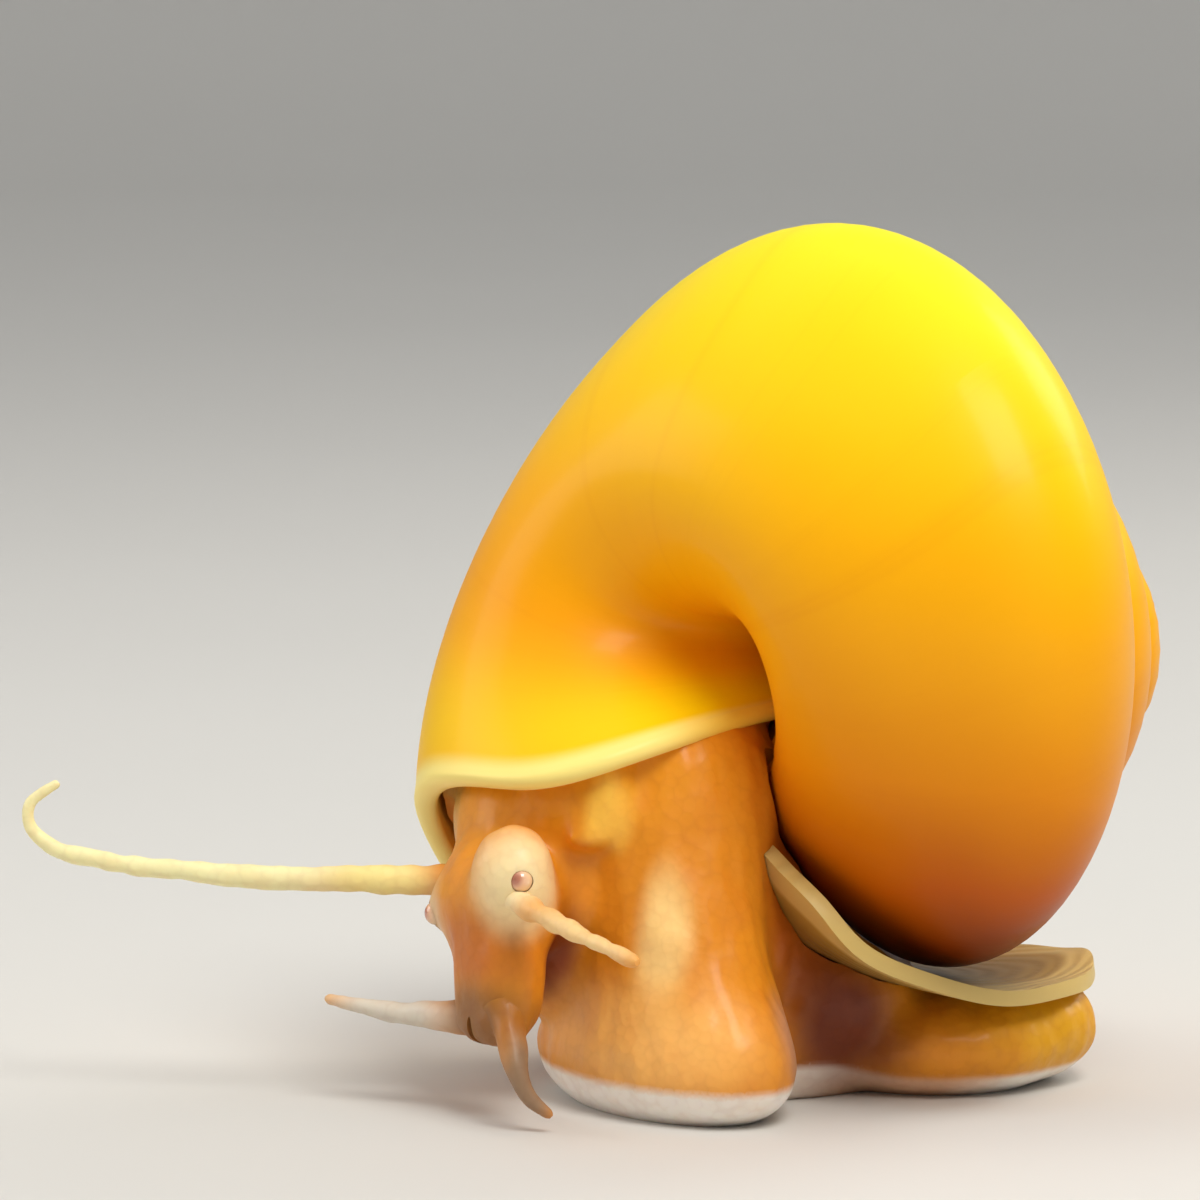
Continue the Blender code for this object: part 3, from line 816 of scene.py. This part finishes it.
def skin_finish():
    """Wet, slightly see-through skin, mottled and finely grained."""
    finish = Finish("wet skin", {"Subsurface Weight": 0.14, "Subsurface Scale": 1.2 * MM,
                                 "Subsurface Radius": (1.0, 0.55, 0.25), "Coat Roughness": 0.2,
                                 "Specular IOR Level": 0.3})
    tint = finish.node("ShaderNodeAttribute", {"attribute_name": "tint"}, {}, "Color")
    clouds = finish.noise(2.4 * MM)
    grains = finish.node("ShaderNodeTexVoronoi", {},
                         {"Vector": finish.place(), "Scale": 1 / (0.55 * MM)})
    color = finish.mix(clouds.between(0.45, 0.75) * 0.16, tint, paint(226, 168, 84), 'MULTIPLY')
    color = finish.mix(grains.between(0.45, 0.85) * 0.08, color, paint(170, 100, 50), 'MULTIPLY')
    finish.feed(finish.shader, {
        "Base Color": color,
        "Roughness": 0.42 + 0.2 * clouds,
        "Coat Weight": 0.10 + 0.20 * clouds,
        "Normal": finish.bump(0.4 * grains + clouds, 0.06 * MM),
    })
    return finish.material


flesh = make_flesh("soft_body")
wrinkle_skin(flesh)
tint_skin(flesh)
wear(flesh, skin_finish())
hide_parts("mantle", "head", "neck", "column", "foot_front", "foot_middle", "foot_tail",
            "eye_stalk_left", "eye_stalk_right", "palp_left", "palp_right", "tentacle_left_base",
            "tentacle_left_tip", "tentacle_right_base", "tentacle_right_middle", "tentacle_right_tip")
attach(flesh, "root")

# The eyes are clear round beads over a small rose brown cup. Each is set in a socket in the side
# of a short stalk, beside the root of a feeler, and is glossy, as it is always wet.
EYE_FACING = {"eye_left": (0.5, -0.8, 0.2), "eye_right": (-0.3, -0.9, 0.1)}


def eye_finish(name, middle, facing):
    """A glossy bead, rose brown in the middle of its face and pale amber round it."""
    finish = Finish(name, {"Roughness": 0.08, "Coat Weight": 0.8, "Coat Roughness": 0.03})
    front = Vector(middle) + Vector(facing).normalized() * EYE_RADIUS
    away = finish.node("ShaderNodeVectorMath", {"operation": 'DISTANCE'},
                       {0: finish.place(), 1: front}, "Value")
    color = finish.ramp(away * (1 / (1.3 * EYE_RADIUS)), [
        (0.00, paint(170, 104, 84)),
        (0.30, paint(196, 126, 100)),
        (0.60, paint(240, 192, 156)),
        (1.00, paint(250, 216, 172)),
    ])
    finish.feed(finish.shader, {"Base Color": color})
    return finish.material


for node, middle in EYES.items():
    shape = bmesh.new()
    add_ball(shape, middle, [EYE_RADIUS] * 3, 32)
    eye = add_object(node + "_bead", shape)
    wear(eye, eye_finish(node + " bead", middle, EYE_FACING[node]))
    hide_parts(node)
    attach(eye, "root")

# The studio is one pale sheet that lies flat under the snail and curves up all round it, far
# off, with three wide soft lamps. It is no part of the model.
FLOOR_COLOR = paint(214, 213, 210)
FLOOR_REACH = 0.9
SWEEP_RADIUS = 0.35
SWEEP_STEPS = 8
SWEEP_TOP = 1.3
# Each lamp: its place, its size, its power and its colour
LAMPS = {
    "key": ((0.24, -0.02, 0.36), 0.20, 1.25, (1.0, 0.97, 0.90)),
    "side": ((-0.24, -0.30, 0.18), 0.24, 0.45, (1.0, 0.98, 0.96)),
    "back": ((-0.05, 0.34, 0.24), 0.20, 0.5, (1.0, 0.96, 0.90)),
}
shape = bmesh.new()
bmesh.ops.create_circle(shape, segments=64, radius=FLOOR_REACH, cap_ends=True)
rim = [item for item in shape.edges if item.is_boundary]
for step in range(1, SWEEP_STEPS + 2):
    rim = open_edges(bmesh.ops.extrude_edge_only(shape, edges=rim)["geom"])
    angle = min(step / SWEEP_STEPS, 1.0) * math.pi / 2
    reach = FLOOR_REACH + SWEEP_RADIUS * math.sin(angle)
    lift = SWEEP_TOP if step > SWEEP_STEPS else SWEEP_RADIUS * (1 - math.cos(angle))
    for corner in {corner for item in rim for corner in item.verts}:
        corner.co = (corner.co.xy.normalized() * reach).to_3d() + Vector((0, 0, lift))
bmesh.ops.recalc_face_normals(shape, faces=shape.faces[:])
floor = add_object("floor", shape)
floor_finish = Finish("pale floor", {"Roughness": 0.75})
tone = floor_finish.noise(60 * MM, detail=0.0)
floor_finish.feed(floor_finish.shader, {
    "Base Color": floor_finish.mix(tone * 0.1, FLOOR_COLOR, paint(196, 195, 192))})
wear(floor, floor_finish.material)
for name, (place, size, power, color) in LAMPS.items():
    light = bpy.data.lights.new(name, 'AREA')
    light.size = size
    light.energy = power
    light.color = color
    lamp = bpy.data.objects.new(name, light)
    lamp.location = place
    lamp.rotation_euler = (Vector((0, 0, 0.02)) - Vector(place)).to_track_quat('-Z', 'Y').to_euler()
    bpy.context.scene.collection.objects.link(lamp)
world = bpy.data.worlds.new("studio")
world.use_nodes = True
world.node_tree.nodes["Background"].inputs["Color"].default_value = (1.0, 1.0, 1.0, 1.0)
world.node_tree.nodes["Background"].inputs["Strength"].default_value = 0.72
bpy.context.scene.world = world
bpy.context.scene.view_settings.view_transform = 'Standard'

# The camera stands low in front of the snail's left side, at the photograph's viewing angle,
# with its whole frame 60 mm wide at the snail.
CAMERA_AZIMUTH = math.radians(60)
CAMERA_ELEVATION = math.radians(6)
CAMERA_TARGET = Vector((-5.0, -8.0, 24.9)) * MM
CAMERA_DISTANCE = 381 * MM
FRAME_WIDTH = 60 * MM
camera_data = bpy.data.cameras.new("camera")
camera_data.sensor_width = 36.0
camera_data.lens = camera_data.sensor_width * CAMERA_DISTANCE / FRAME_WIDTH
camera_data.clip_start = 10 * MM
camera = bpy.data.objects.new("camera", camera_data)
back = Vector((math.sin(CAMERA_AZIMUTH) * math.cos(CAMERA_ELEVATION),
               -math.cos(CAMERA_AZIMUTH) * math.cos(CAMERA_ELEVATION), math.sin(CAMERA_ELEVATION)))
camera.location = CAMERA_TARGET + back * CAMERA_DISTANCE
camera.rotation_euler = back.to_track_quat('Z', 'Y').to_euler()
bpy.context.scene.collection.objects.link(camera)
bpy.context.scene.camera = camera
